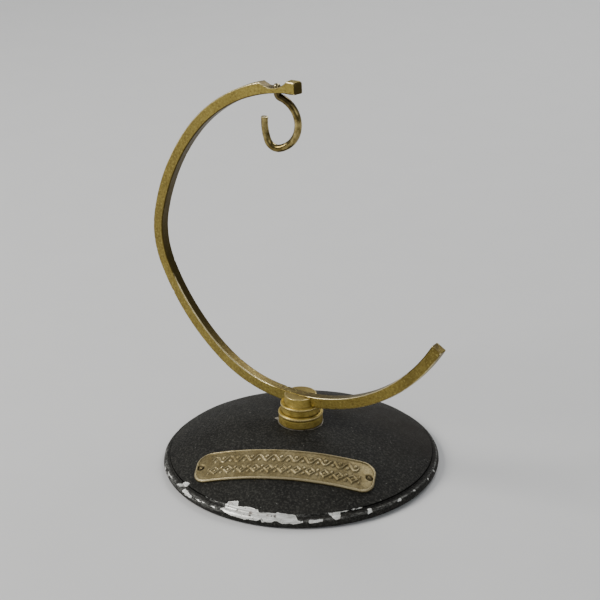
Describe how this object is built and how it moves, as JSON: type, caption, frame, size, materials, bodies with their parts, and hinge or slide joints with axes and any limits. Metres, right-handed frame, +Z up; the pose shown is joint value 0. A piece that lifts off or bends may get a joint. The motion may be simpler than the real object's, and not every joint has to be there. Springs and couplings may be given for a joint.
{
  "type": "counter-top display stand",
  "caption": "Counter-top display stand: a domed round base with a turned hub, a C-shaped square-bar arm and a swivelling wire hook that holds the displayed item.",
  "frame": {"origin": "on the counter, at the centre of the base under the hub's axis", "axes": "+Z up; the arm's plane is XZ and its open side and tail point along +X"},
  "size_m": [0.1558, 0.127, 0.1811],
  "materials": {
    "black_paint": "worn satin black paint over grey white-metal, chipped at the rim",
    "plate_brass": "stamped brass with grey-green patina and rubbed high spots",
    "hub_brass": "turned brass, rubbed bright on its beads",
    "arm_brass": "filed brass bar with a golden-olive patina and bright worn edges",
    "hook_brass": "drawn brass wire with dark patina",
    "steel": "plain steel fastener"
  },
  "bodies": {
    "base": {"base_casting": "black_paint", "nameplate": "plate_brass", "nameplate_pins": "plate_brass"},
    "arm": {"foot_collar": "hub_brass", "slotted_post": "hub_brass", "arm_bar": "arm_brass", "clamp_screw": "steel", "spring_washer": "steel", "plain_washer": "steel"},
    "hook": {"swivel_hook": "hook_brass"}
  },
  "joints": [
    {"name": "arm_swivel", "type": "hinge", "parent": "base", "child": "arm", "pos_m": [0, 0, 0.0205], "axis": [0, 0, 1], "continuous": true},
    {"name": "hook_swivel", "type": "hinge", "parent": "arm", "child": "hook", "pos_m": [-0.0098, 0, 0.1767], "axis": [0, 0, 1], "continuous": true}
  ]
}
